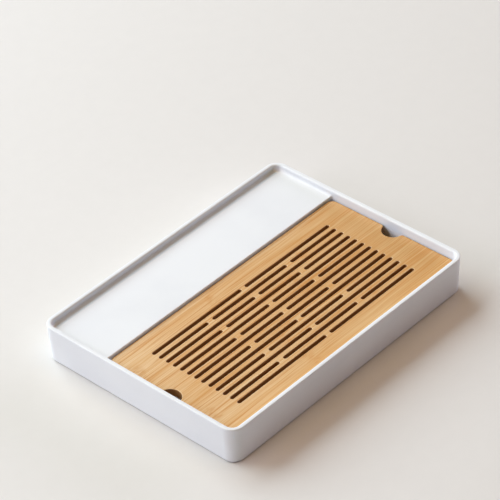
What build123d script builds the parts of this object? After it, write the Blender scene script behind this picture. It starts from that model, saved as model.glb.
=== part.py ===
from build123d import *

import os
from math import radians, tan

# A tea tray for the gongfu style of brewing: one white moulding with a raised dry shelf and a
# water well, a slotted bamboo board that lies in the well and lifts out, and four rubber feet.
# Millimetres and degrees. Origin at the bottom centre, X along the length, Y from the well
# towards the dry shelf, Z up.

# Tray moulding, outside
tray_length = 340.0
tray_width = 250.0
tray_height = 42.3
corner_radius = 14.0
outer_draft = 2.7
rim_outer_rounding = 1.2
rim_inner_rounding = 1.8
base_edge_chamfer = 0.9

# Tray moulding, basin inside the rim
rim_thickness = 5.2
basin_corner_radius = 8.0
inner_draft = 1.5
shelf_depth = 6.3
shelf_width = 75.0
shelf_thickness = 3.5
shelf_edge_rounding = 0.8
inside_fillet = 3.0

# Tray moulding, water well
floor_thickness = 3.0
rest_rib_width = 5.0
rest_rib_bearing = 4.0
rest_rib_chamfer = 1.0
side_rest_spacing = 108.0
end_rest_spacing = 104.0

# Tray moulding, underside
skirt_base_thickness = 3.0
step_wall_thickness = 3.5
inside_corner_chamfer = 3.0
stiffener_count = 3
stiffener_spacing = 84.0
stiffener_depth = 6.0
stiffener_thickness = 2.2
underside_step = 1.0
underside_land = 8.0

# Bamboo drain board
board_thickness = 9.0
board_drop = 2.8
board_side_gap = 1.1
board_end_gap = 2.0
board_corner_radius = 7.5
board_edge_chamfer = 0.6

# Slots through the board
slot_rows = 13
slot_pitch = 9.1
slot_width = 4.1
slot_end_margin = 35.0
centre_bridge = 7.2
outer_bridge = 8.0
middle_slot_length = 106.0

# Finger notches in the ends of the board
notch_radius = 11.5
notch_shoulder = 3.0

# Rubber feet and their seats
foot_diameter = 16.0
foot_thickness = 2.0
foot_projection = 0.8
foot_inset = 26.0
foot_clearance = 0.2
foot_boss_wall = 2.0
foot_post_wall = 5.2

# How far a cutter runs past the face that it opens
cut_overrun = 2.0


def drawn_in(draft, drop):
    """How far a drafted wall has come in over a drop."""
    return drop * tan(radians(draft))


# Levels
shelf_level = tray_height - shelf_depth
shelf_underside = shelf_level - shelf_thickness
board_top = shelf_level - board_drop
board_underside = board_top - board_thickness
skirt_base = foot_projection
floor_underside = skirt_base + underside_step
floor_level = floor_underside + floor_thickness

# Outside outline, at the rim and at the base
half_length = tray_length / 2
half_width = tray_width / 2
base_draw = drawn_in(outer_draft, tray_height - skirt_base)
base_half_length = half_length - base_draw
base_half_width = half_width - base_draw

# Basin wall at the rim, and the lip of the well at shelf level
basin_half_length = half_length - rim_thickness
basin_half_width = half_width - rim_thickness
shelf_lip = basin_half_width - drawn_in(inner_draft, shelf_depth) - shelf_width

# Well walls at the level of the board's top
board_level_draw = drawn_in(inner_draft, tray_height - board_top)
well_half_length = basin_half_length - board_level_draw
well_front = -basin_half_width + board_level_draw
well_back = shelf_lip - drawn_in(inner_draft, shelf_level - board_top)

# Drain board, in the well with a gap all round
board_length = 2 * (well_half_length - board_end_gap)
board_front = well_front + board_side_gap
board_back = well_back - board_side_gap
board_width = board_back - board_front
board_centre = (board_front + board_back) / 2

# Feet, their seats and their bosses
foot_x = base_half_length - foot_inset
foot_y = base_half_width - foot_inset
foot_places = {
    "foot_front_left": (-foot_x, -foot_y),
    "foot_front_right": (foot_x, -foot_y),
    "foot_back_left": (-foot_x, foot_y),
    "foot_back_right": (foot_x, foot_y),
}
foot_seat_radius = foot_diameter / 2 + foot_clearance
foot_boss_side = 2 * (foot_seat_radius + foot_boss_wall)
foot_core_side = foot_boss_side - 2 * foot_post_wall


def plan_rectangle(low, high):
    """A flat rectangle from one corner of its plan to the other."""
    centre = Pos((low[0] + high[0]) / 2, (low[1] + high[1]) / 2)
    return centre * Rectangle(high[0] - low[0], high[1] - low[1])


def upright_block(low, high, level, height):
    """A block from one corner of its plan to the other, standing on a level."""
    return extrude(Pos(0, 0, level) * plan_rectangle(low, high), height)


def drafted_down(outline, level, depth, draft):
    """A solid from an outline downwards, narrowing as it goes."""
    return extrude(Pos(0, 0, level) * outline, depth, dir=(0, 0, -1), taper=draft)


def drafted_up(outline, level, height, draft):
    """A solid from an outline upwards, narrowing as it goes."""
    return extrude(Pos(0, 0, level) * outline, height, dir=(0, 0, 1), taper=draft)


def bottom_edges(solid):
    """The edges round the lowest face."""
    return solid.edges().group_by(Axis.Z)[0]


def top_edges(solid):
    """The edges round the highest face."""
    return solid.edges().group_by(Axis.Z)[-1]


def skirt_block():
    """The outside of the tray as a solid, drafted towards the base."""
    outline = RectangleRounded(tray_length, tray_width, corner_radius)
    block = drafted_down(outline, tray_height, tray_height - skirt_base, outer_draft)
    block = fillet(top_edges(block), rim_outer_rounding)
    return chamfer(bottom_edges(block), base_edge_chamfer)


def shelf_block():
    """What the dry shelf leaves standing: its drafted step down to the well and its eased lip."""
    foot = shelf_lip - drawn_in(inner_draft, shelf_level - floor_underside)
    corners = [
        (foot, floor_underside),
        (shelf_lip, shelf_level),
        (half_width, shelf_level),
        (half_width, floor_underside),
    ]
    profile = make_face(Polyline(*corners, close=True))
    block = extrude(Plane.YZ * profile, half_length, both=True)
    lip = top_edges(block).filter_by(Axis.X).sort_by(Axis.Y)[0]
    return fillet(lip, shelf_edge_rounding)


def rest_rib(reach):
    """One rib that the board rests on, standing on the well floor and reaching along +X."""
    root = floor_level - floor_thickness / 2
    low = (-rim_thickness, -rest_rib_width / 2)
    high = (reach, rest_rib_width / 2)
    rib = upright_block(low, high, root, board_underside - root)
    free_corners = rib.edges().filter_by(Axis.Z).group_by(Axis.X)[-1]
    return chamfer(free_corners, rest_rib_chamfer)


def rest_ribs():
    """The ribs round the well: three on each long wall, two on each end, clear of the notches."""
    side_rib = rest_rib(board_side_gap + rest_rib_bearing)
    end_rib = rest_rib(board_end_gap + rest_rib_bearing)
    ribs = []
    for step in (-1, 0, 1):
        x = step * side_rest_spacing
        ribs.append(Pos(x, well_front, 0) * Rot(0, 0, 90) * side_rib)
        ribs.append(Pos(x, well_back, 0) * Rot(0, 0, -90) * side_rib)
    for step in (-1, 1):
        y = board_centre + step * end_rest_spacing / 2
        ribs.append(Pos(-well_half_length, y, 0) * end_rib)
        ribs.append(Pos(well_half_length, y, 0) * Rot(0, 0, 180) * end_rib)
    return ribs


def inner_space():
    """The basin and the well in one, with a rolling fillet round the shelf and the well floor."""
    outline = RectangleRounded(2 * basin_half_length, 2 * basin_half_width, basin_corner_radius)
    space = drafted_down(outline, tray_height, tray_height - floor_level, inner_draft)
    space -= shelf_block()
    foot_of_back_wall = space.faces().sort_by(Axis.Y)[-1].edges().sort_by(Axis.Z)[0]
    space = fillet([foot_of_back_wall, *bottom_edges(space)], inside_fillet)
    return space.cut(*rest_ribs())


def foot_boss(height):
    """The square boss that carries a foot, wider towards its root."""
    root_side = foot_boss_side + 2 * drawn_in(inner_draft, height)
    return drafted_down(Rectangle(root_side, root_side), skirt_base + height, height, inner_draft)


def foot_pocket():
    """The seat of a foot, sunk into its boss."""
    depth = foot_thickness - foot_projection + cut_overrun
    pocket = Cylinder(foot_seat_radius, depth, align=(Align.CENTER, Align.CENTER, Align.MAX))
    return Pos(0, 0, foot_thickness) * pocket


def post_core():
    """The hollow inside a long foot post, which keeps it about as thick as the other walls."""
    outline = Rectangle(foot_core_side, foot_core_side)
    return drafted_up(outline, foot_thickness, shelf_underside - foot_thickness, inner_draft)


def shelf_hollow():
    """The open space under the dry shelf, with its stiffening ribs and foot posts left standing."""
    height = shelf_underside - skirt_base
    well_face = shelf_lip - drawn_in(inner_draft, shelf_thickness)
    low = (
        -base_half_length + skirt_base_thickness,
        well_face + step_wall_thickness - drawn_in(inner_draft, height),
    )
    high = (base_half_length - skirt_base_thickness, base_half_width - skirt_base_thickness)
    outline = plan_rectangle(low, high)
    outline = chamfer(outline.vertices().group_by(Axis.Y)[0], inside_corner_chamfer)
    back_radius = corner_radius - base_draw - skirt_base_thickness
    outline = fillet(outline.vertices().group_by(Axis.Y)[-1], back_radius)
    space = drafted_up(outline, skirt_base, height, inner_draft)
    first_rib = -stiffener_spacing * (stiffener_count - 1) / 2
    for number in range(stiffener_count):
        x = first_rib + number * stiffener_spacing
        rib_low = (x - stiffener_thickness / 2, low[1])
        rib_high = (x + stiffener_thickness / 2, high[1])
        space -= upright_block(rib_low, rib_high, shelf_underside - stiffener_depth, stiffener_depth)
    for x in (-foot_x, foot_x):
        space -= Pos(x, foot_y, 0) * foot_boss(height)
    return space


def underside_recess():
    """The shallow step under the well floor, which leaves a land to stand round it."""
    low = (-base_half_length + underside_land, -base_half_width + underside_land)
    high = (base_half_length - underside_land, shelf_lip - underside_land)
    outline = plan_rectangle(low, high)
    outline = chamfer(outline.vertices(), inside_corner_chamfer)
    recess = extrude(Pos(0, 0, skirt_base) * outline, underside_step)
    for x in (-foot_x, foot_x):
        recess -= Pos(x, -foot_y, 0) * foot_boss(underside_step)
    return recess


def tray_body():
    """The whole moulding."""
    body = skirt_block() - inner_space()
    rim = body.faces().sort_by(Axis.Z)[-1]
    body = fillet(rim.inner_wires()[0].edges(), rim_inner_rounding)
    pockets = [Pos(x, y, 0) * foot_pocket() for x, y in foot_places.values()]
    cores = [Pos(x, foot_y, 0) * post_core() for x in (-foot_x, foot_x)]
    return body.cut(shelf_hollow(), underside_recess(), *pockets, *cores)


def slot_spans(row):
    """The ends of the slots in one row: rows with two slots and rows with three take turns."""
    field_end = board_length / 2 - slot_end_margin
    if row % 2 == 0:
        inner = centre_bridge / 2
        return [(-field_end, -inner), (inner, field_end)]
    middle = middle_slot_length / 2
    inner = middle + outer_bridge
    return [(-field_end, -inner), (-middle, middle), (inner, field_end)]


def slot_cutter(start, end, y):
    """One round-ended slot, tall enough to run through the board."""
    slot = extrude(SlotOverall(end - start, slot_width), board_thickness + cut_overrun, both=True)
    return Pos((start + end) / 2, y, board_top) * slot


def board_outline():
    """The board seen from above, with a finger notch in each end."""
    outline = RectangleRounded(board_length, board_width, board_corner_radius)
    for side in (-1, 1):
        outline -= Pos(side * board_length / 2, 0) * Rot(0, 0, 90) * Circle(notch_radius)
    shoulders = [corner for corner in outline.vertices() if abs(corner.Y) < notch_radius + notch_shoulder]
    return Pos(0, board_centre) * fillet(shoulders, notch_shoulder)


def drain_board():
    """The bamboo board with its staggered slots."""
    board = extrude(Pos(0, 0, board_underside) * board_outline(), board_thickness)
    board = chamfer(top_edges(board) + bottom_edges(board), board_edge_chamfer)
    first_row = board_centre + slot_pitch * (slot_rows - 1) / 2
    cutters = []
    for row in range(slot_rows):
        y = first_row - row * slot_pitch
        for start, end in slot_spans(row):
            cutters.append(slot_cutter(start, end, y))
    return board.cut(*cutters)


def rubber_foot():
    """One round foot."""
    return Cylinder(foot_diameter / 2, foot_thickness, align=(Align.CENTER, Align.CENTER, Align.MIN))


def write(name, shape):
    shape.label = name
    export_step(shape, os.path.join("parts", name + ".step"))


os.makedirs("parts", exist_ok=True)
write("tray_body", tray_body())
write("drain_board", drain_board())
for place_name, (place_x, place_y) in foot_places.items():
    write(place_name, Pos(place_x, place_y, 0) * rubber_foot())
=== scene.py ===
import math

import bpy
from mathutils import Matrix, Vector


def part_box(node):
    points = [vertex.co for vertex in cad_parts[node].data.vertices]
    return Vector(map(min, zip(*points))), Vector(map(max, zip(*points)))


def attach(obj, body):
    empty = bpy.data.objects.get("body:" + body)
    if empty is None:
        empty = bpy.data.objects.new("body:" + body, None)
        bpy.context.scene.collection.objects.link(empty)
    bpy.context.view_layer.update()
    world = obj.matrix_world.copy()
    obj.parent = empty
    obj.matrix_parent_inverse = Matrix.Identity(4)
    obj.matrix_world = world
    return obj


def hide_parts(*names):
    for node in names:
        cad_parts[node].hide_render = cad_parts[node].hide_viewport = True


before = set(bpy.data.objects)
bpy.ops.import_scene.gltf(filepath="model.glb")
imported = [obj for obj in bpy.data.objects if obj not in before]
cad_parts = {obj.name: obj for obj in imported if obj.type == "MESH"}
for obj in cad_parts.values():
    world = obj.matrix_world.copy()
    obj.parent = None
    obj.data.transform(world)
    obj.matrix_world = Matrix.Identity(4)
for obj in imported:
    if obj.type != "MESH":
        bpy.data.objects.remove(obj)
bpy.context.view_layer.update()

# Lengths are in metres, angles in degrees, colours linear. The frame's origin is the bottom
# centre of the tray, X along its length, Y from the well to the dry shelf, Z up.

# Camera, worked out from the tray's straight edges in the photograph
camera_place = Vector((-1.5092, -1.4390, 1.7369))
camera_azimuth = -46.28
camera_elevation = 38.30
camera_roll = -2.90
camera_near = 0.05
camera_far = 20.0
frame_pixels = 500
focal_pixels = 2771.2
frame_shift_pixels = -0.55
sensor_width_mm = 36.0

# Lamps: a wide window behind the tray, a softer one at its near end, a low wall to the right and a
# warm ceiling. Each has a name, azimuth, elevation, width and height, watts and colour.
lamp_distance = 9.0
lamps = (
    ("window", 187, 36, (10.4, 6.8), 1373, (0.795, 0.924, 1.0)),
    ("side_window", 253, 27, (5.8, 5.0), 309, (0.89, 0.855, 1.0)),
    ("right_wall", 78, 16, (10.8, 3.2), 395, (0.828, 0.783, 1.0)),
    ("ceiling", 0, 85, (9.0, 9.0), 247, (1.0, 0.619, 0.154)),
)
sky_colour = (1.0, 0.86, 0.80)
sky_strength = 0.01

# Parts of a noise's range that are stretched to the whole, detail of a mottle, depth of fine bumps
noise_span = (0.35, 0.65)
wide_noise_span = (0.3, 0.7)
mottle_detail = 3.0
bump_depth = 0.0002

# Floor
floor_half_size = 3.0
floor_light_colour = (0.760, 0.735, 0.706)
# painted shade: the floor's colour darkens towards the front and right where the light falls off
floor_painted_shade_colour = (0.672, 0.643, 0.612)
floor_fall_start = -0.35
floor_fall_end = 0.75
floor_roughness = 0.85
pulp_scale = 55.0
pulp_detail = 4.0
pulp_crispness = 0.6
pulp_shade = 0.985
pulp_bump = 0.15
pulp_depth = 0.001

# Moulded white
white_colour = (0.83, 0.84, 0.855)
white_shade_colour = (0.80, 0.81, 0.83)
# painted cool light: a cooler white for the walls beside the board and behind the shelf, offsetting the warm
# light the board throws on them
white_painted_cool_light_colour = (0.82, 0.88, 0.94)
# painted shade: a grey for the fillet at the foot of the back wall, where the wall's shadow falls
white_painted_crease_shade_colour = (0.66, 0.72, 0.79)
white_roughness = 0.36
white_roughness_swing = 0.10
white_refraction = 1.46
white_mottle_scale = 14.0
white_bite_scale = 2600.0
white_bite_bump = 0.10
white_upright_span = (0.1, 0.6)
rubbed_span = (0.52, 0.60)
rubbed_gloss = 0.06

# Places of the painted cool light on the walls round the board and behind the shelf, offsetting the warm
# light that the board throws on them, and of the painted shade in the fillet between shelf and back wall
tint_fade = 0.001
beside_board_ends = 0.0035
beside_board_sides = 0.003
beside_board_drop = 0.003
back_wall_half_length = 0.160
back_wall_front = 0.118
back_wall_back = 0.1215
crease_front = 0.1122
crease_bottom = 0.0345
crease_top = 0.0382
wide_tint_fade = 0.002

# Bamboo's strips and grain; each streak layer has its share, its length and its width
strip_width = 0.0185
strip_shift = 3.0
strip_tone = 0.55
strip_contrast = 0.12
fibre_length = 0.075
fibre_width = 0.0006
fibre_share = 0.80
streak_layers = ((1.40, 0.10, 0.0013), (0.60, 0.16, 0.0045), (0.25, 0.05, 0.014))
tone_span = (0.1, 0.9)
sway_length = 0.09
sway_width = 0.004
sway_detail = 1.0

# Bamboo's dark lines, seams and knuckles
line_length = 0.12
line_width = 0.0018
line_span = (0.55, 0.66)
line_share = 0.85
seam_width = 0.02
seam_share = 0.25
knuckle_spacing = 0.23
knuckle_length = 0.009
knuckle_fray = 0.0035
knuckle_share = 0.60
knuckle_relief = 0.5

# Bamboo's cut faces, from how level they are: 1 is level, 0 is upright
cut_span = (0.05, 0.5)
cut_share = 0.6
milled_inset = 0.0015
# painted shade inside the narrow slots, with some router burn
slot_shade_and_burn_share = 0.9
eased_low_span = (0.2, 0.5)
eased_high_span = (0.90, 0.995)
# painted highlight on the eased edges
eased_highlight_share = 0.45

# Bamboo's colours and surface
honey_across = 2.75
honey_along = 2.5
honey_start = -0.41
honey_end = 0.59
bamboo_pale = (0.78, 0.558, 0.312)
bamboo_dark = (0.64, 0.320, 0.084)
bamboo_streak = (0.57, 0.250, 0.055)
# painted highlight colour for the eased edges
bamboo_edge_highlight = (0.88, 0.66, 0.40)
bamboo_honey_tint = (0.84, 0.73, 0.56)
# darker cut faces, also used as painted shade inside the slots
bamboo_cut_and_shade_colour = (0.30, 0.130, 0.035)
bamboo_roughness = 0.38
bamboo_roughness_swing = 0.18
bamboo_bump = 0.12

# Rubber feet
rubber_colour = (0.45, 0.45, 0.46)
rubber_dust = 0.75
rubber_mottle_scale = 220.0
rubber_roughness = 0.70
rubber_roughness_swing = 0.15
rubber_bump = 0.25

# Drain board, drawn with eased edges in the box of its CAD solid, a little towards the far end
board_slide = 0.0008
board_middle = -0.037
board_corner_radius = 0.0075
notch_radius = 0.0115
notch_shoulder = 0.003
slot_rows = 13
slot_pitch = 0.0091
slot_width = 0.0041
slot_end_margin = 0.0344
centre_bridge = 0.0061
outer_bridge = 0.0068
middle_slot_length = 0.107
edge_easing = 0.0005
easing_steps = 3
arc_step = 7.5
flat_normal = 0.9999


def direction(azimuth, elevation):
    """The unit vector from the object towards a place: azimuth 0 is the front, -Y, and 90 is +X."""
    a = math.radians(azimuth)
    e = math.radians(elevation)
    return Vector((math.sin(a) * math.cos(e), -math.cos(a) * math.cos(e), math.sin(e)))


def feed(tree, socket, value):
    """Links an input to another node's output, or sets it to a plain value."""
    if isinstance(value, bpy.types.NodeSocket):
        tree.links.new(value, socket)
    else:
        socket.default_value = value


def add(tree, kind, inputs=(), **settings):
    """Adds a node, sets it up, and fills its inputs with values or with other nodes' outputs."""
    node = tree.nodes.new(kind)
    for name, value in settings.items():
        setattr(node, name, value)
    pairs = inputs.items() if isinstance(inputs, dict) else enumerate(inputs)
    for key, value in pairs:
        feed(tree, node.inputs[key], value)
    return node


def maths(tree, operation, *values):
    """The output of one Math node."""
    return add(tree, "ShaderNodeMath", values, operation=operation).outputs[0]


def mapped(tree, value, low, high, new_low=0.0, new_high=1.0, smooth=True):
    """A value carried from one range to another, held at its ends."""
    kind = "SMOOTHSTEP" if smooth else "LINEAR"
    inputs = (value, low, high, new_low, new_high)
    return add(tree, "ShaderNodeMapRange", inputs, interpolation_type=kind).outputs[0]


def mixed(tree, share, first, second, blend="MIX"):
    """Two colours mixed, each a socket or a plain colour."""
    node = add(tree, "ShaderNodeMix", data_type="RGBA", blend_type=blend)
    feed(tree, node.inputs[0], share)
    # The node's inputs 6 and 7 are its two colours
    for socket, colour in ((node.inputs[6], first), (node.inputs[7], second)):
        feed(tree, socket, (*colour, 1.0) if isinstance(colour, tuple) else colour)
    return node.outputs[2]


def noise(tree, vector, scale=1.0, detail=2.0, roughness=0.5):
    """The value of one Noise texture."""
    inputs = {"Vector": vector, "Scale": scale, "Detail": detail, "Roughness": roughness}
    return add(tree, "ShaderNodeTexNoise", inputs).outputs[0]


def combined(tree, x, y, z):
    """A vector from its X, Y and Z."""
    return add(tree, "ShaderNodeCombineXYZ", (x, y, z)).outputs[0]


def split(tree, vector):
    """The X, Y and Z of a vector."""
    return add(tree, "ShaderNodeSeparateXYZ", (vector,)).outputs


def levelness(tree):
    """How level a face is: 1 where it looks straight up or down, 0 where it is upright."""
    normal = add(tree, "ShaderNodeNewGeometry").outputs["Normal"]
    return maths(tree, "ABSOLUTE", split(tree, normal)[2])


def within(tree, limits):
    """How far a place lies inside soft limits, each a value, the edge it starts at and its fade beyond."""
    share = 1.0
    for value, edge, fade in limits:
        share = maths(tree, "MULTIPLY", mapped(tree, value, edge, edge + fade), share)
    return share


def new_material(name):
    """A material with its node tree and its place coordinates."""
    material = bpy.data.materials.new(name)
    material.use_nodes = True
    tree = material.node_tree
    place = add(tree, "ShaderNodeTexCoord").outputs["Object"]
    return material, tree, place


def finish_surface(tree, colour, roughness, relief, strength, depth=bump_depth):
    """Gives the shader its colour, its roughness and a bump made from a relief."""
    shader = tree.nodes["Principled BSDF"]
    bump = add(tree, "ShaderNodeBump", {"Strength": strength, "Distance": depth, "Height": relief})
    feed(tree, shader.inputs["Base Color"], colour)
    feed(tree, shader.inputs["Roughness"], roughness)
    feed(tree, shader.inputs["Normal"], bump.outputs[0])
    return shader


def white_tints(tree, place, colour):
    """The white with painted cool light on the inner walls beside the board and behind the shelf, and painted
    shade in the fillet at the foot of the back wall.
    """
    low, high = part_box("drain_board")
    upright = mapped(tree, levelness(tree), *white_upright_span, 1.0, 0.0)
    axes = split(tree, place)
    along, across, height = maths(tree, "ABSOLUTE", axes[0]), axes[1], axes[2]
    beside_board = within(tree, (
        (along, high.x + beside_board_ends, -tint_fade),
        (across, high.y + beside_board_sides, -tint_fade),
        (across, low.y - beside_board_sides, tint_fade),
        (height, high.z - beside_board_drop, beside_board_drop),
    ))
    back_wall = within(tree, (
        (along, back_wall_half_length, -wide_tint_fade),
        (across, back_wall_front, tint_fade),
        (across, back_wall_back, -tint_fade),
    ))
    # painted shade in the fillet between shelf and back wall
    painted_crease_shade = within(tree, (
        (along, back_wall_half_length, -wide_tint_fade),
        (across, crease_front, wide_tint_fade),
        (across, back_wall_back, -tint_fade),
        (height, crease_bottom, tint_fade),
        (height, crease_top, -tint_fade),
    ))
    # painted cool light on the upright walls beside the board and behind the shelf
    painted_cool_light = maths(tree, "MULTIPLY", upright, maths(tree, "MAXIMUM", beside_board, back_wall))
    colour = mixed(tree, painted_cool_light, colour, white_painted_cool_light_colour)
    return mixed(tree, painted_crease_shade, colour, white_painted_crease_shade_colour)


def white_material():
    """Satin white moulding: a faint mottle, a fine bite from the mould, edges rubbed a little smoother."""
    material, tree, place = new_material("white_moulding")
    mottle = noise(tree, place, scale=white_mottle_scale, detail=mottle_detail)
    bite = noise(tree, place, scale=white_bite_scale)
    colour = mixed(tree, mapped(tree, mottle, *noise_span), white_shade_colour, white_colour)
    colour = white_tints(tree, place, colour)
    pointiness = add(tree, "ShaderNodeNewGeometry").outputs["Pointiness"]
    rubbed = mapped(tree, pointiness, *rubbed_span)
    smoothest = white_roughness - white_roughness_swing / 2
    rough = maths(tree, "MULTIPLY_ADD", mottle, white_roughness_swing, smoothest)
    rough = maths(tree, "MULTIPLY_ADD", rubbed, -rubbed_gloss, rough)
    shader = finish_surface(tree, colour, rough, bite, white_bite_bump)
    shader.inputs["IOR"].default_value = white_refraction
    return material


def bamboo_strips(tree, across):
    """The strip at each place, how far across it the place lies, and random draws for the strip."""
    row = maths(tree, "DIVIDE", across, strip_width)
    strip = maths(tree, "FLOOR", row)
    chance = add(tree, "ShaderNodeTexWhiteNoise", {"W": strip}, noise_dimensions="1D").outputs["Color"]
    draws = add(tree, "ShaderNodeSeparateColor", (chance,)).outputs
    return strip, maths(tree, "FRACT", row), draws


def bamboo_grain(tree, place, strip, draws):
    """The places that streaks are drawn at: shifted along by strip, and swaying across."""
    along, across, height = split(tree, place)
    shifted = maths(tree, "MULTIPLY_ADD", draws[0], strip_shift, along)
    row = maths(tree, "DIVIDE", across, strip_width)
    bends = combined(tree, maths(tree, "DIVIDE", shifted, sway_length), row, strip)
    sway = noise(tree, bends, detail=sway_detail)
    return shifted, maths(tree, "MULTIPLY_ADD", sway, sway_width, across), height


def streaks(tree, grain, length, width):
    """Noise drawn out along the grain."""
    stretches = zip(grain, (length, width, width))
    return noise(tree, combined(tree, *[maths(tree, "DIVIDE", value, size) for value, size in stretches]))


def bamboo_knuckles(tree, along, across, strip, draws):
    """How strongly each place shows a knuckle of its strip: a smudge that frays along the fibres."""
    turn = maths(tree, "MULTIPLY", draws[1], knuckle_spacing)
    frayed = maths(tree, "DIVIDE", across, knuckle_fray)
    wander = noise(tree, combined(tree, strip, frayed, 0.0))
    wander = maths(tree, "MULTIPLY_ADD", wander, knuckle_length, turn)
    phase = maths(tree, "FRACT", maths(tree, "DIVIDE", maths(tree, "ADD", along, wander), knuckle_spacing))
    offset = maths(tree, "MULTIPLY", maths(tree, "SUBTRACT", phase, 0.5), knuckle_spacing)
    near = mapped(tree, maths(tree, "ABSOLUTE", offset), 0.0, knuckle_length, 1.0, 0.0)
    patch = noise(tree, combined(tree, maths(tree, "DIVIDE", along, knuckle_length), frayed, strip))
    return maths(tree, "MULTIPLY", near, mapped(tree, patch, *noise_span))


def bamboo_tone(tree, grain, fibres, draws):
    """How pale each place is: a little by strip, and by layers of fibres and streaks."""
    tone = maths(tree, "MULTIPLY_ADD", maths(tree, "SUBTRACT", draws[0], 0.5), strip_contrast, strip_tone)
    layers = [(fibre_share, fibres)]
    layers += [(share, streaks(tree, grain, length, width)) for share, length, width in streak_layers]
    for share, source in layers:
        tone = maths(tree, "MULTIPLY_ADD", maths(tree, "SUBTRACT", source, 0.5), share, tone)
    return mapped(tree, tone, *tone_span, smooth=False)


def bamboo_honey(tree, along, across, colour):
    """The bamboo's colour, deeper towards the far end and the front."""
    honey = maths(tree, "MULTIPLY_ADD", across, -honey_across, maths(tree, "MULTIPLY", along, honey_along))
    honey = mapped(tree, honey, honey_start, honey_end, smooth=False)
    return mixed(tree, honey, colour, bamboo_honey_tint, blend="MULTIPLY")


def bamboo_marks(tree, grain, across_strip, knuckle, colour):
    """The bamboo's colour with its dark lines, the seams between strips, and knuckles."""
    lines = mapped(tree, streaks(tree, grain, line_length, line_width), *line_span)
    from_middle = maths(tree, "ABSOLUTE", maths(tree, "SUBTRACT", across_strip, 0.5))
    seam = mapped(tree, maths(tree, "SUBTRACT", 0.5, from_middle), 0.0, seam_width, 1.0, 0.0)
    for mark, share in ((lines, line_share), (seam, seam_share), (knuckle, knuckle_share)):
        colour = mixed(tree, maths(tree, "MULTIPLY", mark, share), colour, bamboo_streak)
    return colour


def bamboo_cuts(tree, along, across, colour):
    """The bamboo's colour with its darker cut faces, painted shade with some router burn on the walls of the
    slots, and pale eased edges with a painted highlight.
    """
    low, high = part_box("drain_board")
    level = levelness(tree)
    upright = mapped(tree, level, *cut_span, 1.0, 0.0)
    board = ((along, board_slide, high.x), (across, (high.y + low.y) / 2, (high.y - low.y) / 2))
    beyond = []
    for value, middle, half in board:
        from_middle = maths(tree, "ABSOLUTE", maths(tree, "SUBTRACT", value, middle))
        beyond.append(maths(tree, "SUBTRACT", from_middle, half))
    inner = maths(tree, "LESS_THAN", maths(tree, "MAXIMUM", *beyond), -milled_inset)
    # painted shade, with some router burn, on the walls of the slots
    slot_shade_and_burn = maths(tree, "MULTIPLY", upright, inner)
    colour = mixed(tree, maths(tree, "MULTIPLY", upright, cut_share), colour, bamboo_cut_and_shade_colour)
    colour = mixed(tree, maths(tree, "MULTIPLY", slot_shade_and_burn, slot_shade_and_burn_share), colour, bamboo_cut_and_shade_colour)
    # painted highlight: the sloped faces of the eased edges are made paler
    not_upright = mapped(tree, level, *eased_low_span)
    not_level = mapped(tree, level, *eased_high_span, 1.0, 0.0)
    eased_highlight = maths(tree, "MULTIPLY", not_upright, not_level)
    return mixed(tree, maths(tree, "MULTIPLY", eased_highlight, eased_highlight_share), colour, bamboo_edge_highlight)


def bamboo_material():
    """Laminated bamboo: strips, streaks and fibres along the board, knuckles, dark slots with painted shade,
    pale edges with a painted highlight.
    """
    material, tree, place = new_material("bamboo")
    axes = split(tree, place)
    along, across = axes[0], axes[1]
    strip, across_strip, draws = bamboo_strips(tree, across)
    grain = bamboo_grain(tree, place, strip, draws)
    fibres = streaks(tree, grain, fibre_length, fibre_width)
    knuckle = bamboo_knuckles(tree, along, grain[1], strip, draws)
    colour = mixed(tree, bamboo_tone(tree, grain, fibres, draws), bamboo_dark, bamboo_pale)
    colour = bamboo_honey(tree, along, across, colour)
    colour = bamboo_marks(tree, grain, across_strip, knuckle, colour)
    colour = bamboo_cuts(tree, along, across, colour)
    rough = maths(tree, "MULTIPLY_ADD", fibres, bamboo_roughness_swing, bamboo_roughness)
    relief = maths(tree, "MULTIPLY_ADD", knuckle, knuckle_relief, fibres)
    finish_surface(tree, colour, rough, relief, bamboo_bump)
    return material


def rubber_material():
    """Matte grey rubber with a dusty mottle."""
    material, tree, place = new_material("foot_rubber")
    mottle = noise(tree, place, scale=rubber_mottle_scale, detail=mottle_detail)
    darker = tuple(rubber_dust * value for value in rubber_colour)
    colour = mixed(tree, mapped(tree, mottle, *wide_noise_span), darker, rubber_colour)
    rough = maths(tree, "MULTIPLY_ADD", mottle, rubber_roughness_swing, rubber_roughness)
    finish_surface(tree, colour, rough, mottle, rubber_bump)
    return material


def floor_material():
    """Warm off-white paper, with painted shade that makes it a little darker to the front and right, as light
    falls off.
    """
    material, tree, place = new_material("floor_paper")
    axes = split(tree, place)
    pulp = noise(tree, place, scale=pulp_scale, detail=pulp_detail, roughness=pulp_crispness)
    # painted falloff of light across the floor
    painted_falloff = maths(tree, "SUBTRACT", axes[0], axes[1])
    painted_falloff = mapped(tree, painted_falloff, floor_fall_start, floor_fall_end, smooth=False)
    colour = mixed(tree, painted_falloff, floor_light_colour, floor_painted_shade_colour)
    spots = mapped(tree, pulp, *wide_noise_span, pulp_shade, 1.0, smooth=False)
    colour = mixed(tree, 1.0, colour, combined(tree, spots, spots, spots), blend="MULTIPLY")
    finish_surface(tree, colour, floor_roughness, pulp, pulp_bump, pulp_depth)
    return material


def arc(centre, radius, start, end):
    """Points along an arc between two angles, clockwise where the second is smaller."""
    steps = max(2, math.ceil(abs(end - start) / arc_step))
    angles = [math.radians(start + (end - start) * step / steps) for step in range(steps + 1)]
    return [(centre[0] + radius * math.cos(a), centre[1] + radius * math.sin(a)) for a in angles]


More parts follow.
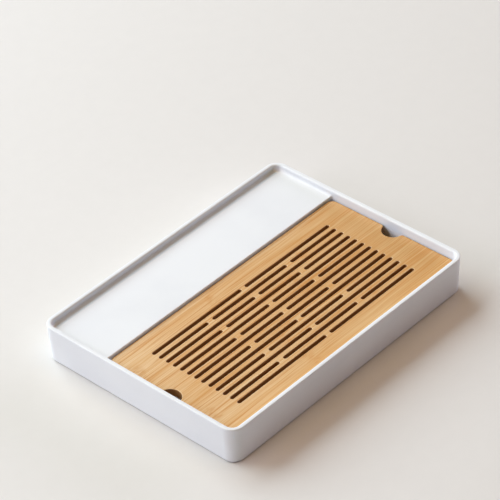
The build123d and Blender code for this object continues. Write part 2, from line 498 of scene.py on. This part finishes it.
def board_outline(end, front, back, inset):
    """The board's outline drawn in by an inset: round corners and a finger notch in each end."""
    middle = board_middle
    corner = board_corner_radius
    shoulder = notch_shoulder
    rise = math.sqrt((notch_radius + shoulder) ** 2 - shoulder ** 2)
    lean = math.degrees(math.atan2(rise, shoulder))
    right = [
        *arc((end - corner, front + corner), corner - inset, -90, 0),
        *arc((end - shoulder, middle - rise), shoulder - inset, 0, lean),
        *arc((end, middle), notch_radius + inset, 180 + lean, 180 - lean),
        *arc((end - shoulder, middle + rise), shoulder - inset, -lean, 0),
        *arc((end - corner, back - corner), corner - inset, 0, 90),
    ]
    left = [(-x, y) for x, y in reversed(right)]
    return right + left


def slot_outline(start, end, y, outset):
    """One round-ended slot, drawn out by an outset."""
    radius = slot_width / 2
    right = arc((end - radius, y), radius + outset, -90, 90)
    left = arc((start + radius, y), radius + outset, 90, 270)
    return right + left


def slot_spans(row, field_end):
    """The ends of the slots in one row: rows with two slots and rows with three take turns."""
    if row % 2 == 0:
        inner = centre_bridge / 2
        return [(-field_end, -inner), (inner, field_end)]
    middle = middle_slot_length / 2
    inner = middle + outer_bridge
    return [(-field_end, -inner), (-middle, middle), (inner, field_end)]


def board_mesh():
    """The board as a plate with every edge eased, from its outline and its slots."""
    low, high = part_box("drain_board")
    outlines = [board_outline(high.x, low.y, high.y, edge_easing)]
    first_row = board_middle + slot_pitch * (slot_rows - 1) / 2
    for row in range(slot_rows):
        for start, end in slot_spans(row, high.x - slot_end_margin):
            outlines.append(slot_outline(start, end, first_row - row * slot_pitch, edge_easing))
    curve = bpy.data.curves.new("board_plan", "CURVE")
    curve.dimensions = "2D"
    curve.fill_mode = "BOTH"
    curve.extrude = (high.z - low.z) / 2 - edge_easing
    curve.bevel_depth = edge_easing
    curve.bevel_resolution = easing_steps
    for outline in outlines:
        spline = curve.splines.new("POLY")
        spline.points.add(len(outline) - 1)
        for point, (x, y) in zip(spline.points, outline):
            point.co = (x, y, 0.0, 1.0)
        spline.use_cyclic_u = True
    plan = bpy.data.objects.new("board_plan", curve)
    bpy.context.scene.collection.objects.link(plan)
    solid = plan.evaluated_get(bpy.context.evaluated_depsgraph_get())
    mesh = bpy.data.meshes.new_from_object(solid)
    bpy.data.objects.remove(plan)
    mesh.transform(Matrix.Translation((board_slide, 0.0, (low.z + high.z) / 2)))
    for face in mesh.polygons:
        face.use_smooth = abs(face.normal.z) < flat_normal
    return mesh


def make_board(material):
    """The drain board, in place of its CAD solid."""
    mesh = board_mesh()
    mesh.materials.clear()
    mesh.materials.append(material)
    board = bpy.data.objects.new("bamboo_board", mesh)
    bpy.context.scene.collection.objects.link(board)
    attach(board, "board")
    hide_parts("drain_board")


def dress(node, material):
    """Gives a CAD node a material in every slot."""
    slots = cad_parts[node].material_slots
    for slot in slots:
        slot.material = material


def make_floor():
    """The surface that the tray stands on."""
    s = floor_half_size
    mesh = bpy.data.meshes.new("floor")
    mesh.from_pydata([(-s, -s, 0), (s, -s, 0), (s, s, 0), (-s, s, 0)], [], [(0, 1, 2, 3)])
    floor = bpy.data.objects.new("floor", mesh)
    bpy.context.scene.collection.objects.link(floor)
    mesh.materials.append(floor_material())


def make_lamp(name, azimuth, elevation, size, power, colour):
    """A rectangular lamp that faces the object from a compass direction and a height."""
    lamp = bpy.data.lights.new(name, "AREA")
    lamp.shape = "RECTANGLE"
    lamp.size, lamp.size_y = size
    lamp.energy = power
    lamp.color = colour
    holder = bpy.data.objects.new(name, lamp)
    bpy.context.scene.collection.objects.link(holder)
    towards = direction(azimuth, elevation)
    holder.location = towards * lamp_distance
    holder.rotation_euler = towards.to_track_quat("Z", "Y").to_euler()


def make_sky():
    """Faint even light from all round."""
    world = bpy.data.worlds.new("sky")
    bpy.context.scene.world = world
    world.use_nodes = True
    background = world.node_tree.nodes["Background"]
    background.inputs["Color"].default_value = (*sky_colour, 1.0)
    background.inputs["Strength"].default_value = sky_strength


def make_camera():
    """The camera of the photograph, turned by its azimuth, elevation and roll."""
    back = direction(camera_azimuth, camera_elevation)
    level = Vector((math.cos(math.radians(camera_azimuth)), math.sin(math.radians(camera_azimuth)), 0.0))
    upward = back.cross(level)
    roll = math.radians(camera_roll)
    right = level * math.cos(roll) + upward * math.sin(roll)
    up = upward * math.cos(roll) - level * math.sin(roll)
    lens = bpy.data.cameras.new("camera")
    lens.sensor_width = sensor_width_mm
    lens.lens = focal_pixels / frame_pixels * sensor_width_mm
    lens.shift_x = frame_shift_pixels / frame_pixels
    lens.clip_start = camera_near
    lens.clip_end = camera_far
    camera = bpy.data.objects.new("camera", lens)
    bpy.context.scene.collection.objects.link(camera)
    turn = Matrix((right, up, back)).transposed().to_4x4()
    camera.matrix_world = Matrix.Translation(camera_place) @ turn
    bpy.context.scene.camera = camera


white = white_material()
bamboo = bamboo_material()
rubber = rubber_material()
dress("tray_body", white)
make_board(bamboo)
for foot in ("foot_front_left", "foot_front_right", "foot_back_left", "foot_back_right"):
    dress(foot, rubber)

make_floor()
for lamp in lamps:
    make_lamp(*lamp)
make_sky()
make_camera()
bpy.context.scene.view_settings.view_transform = "Standard"
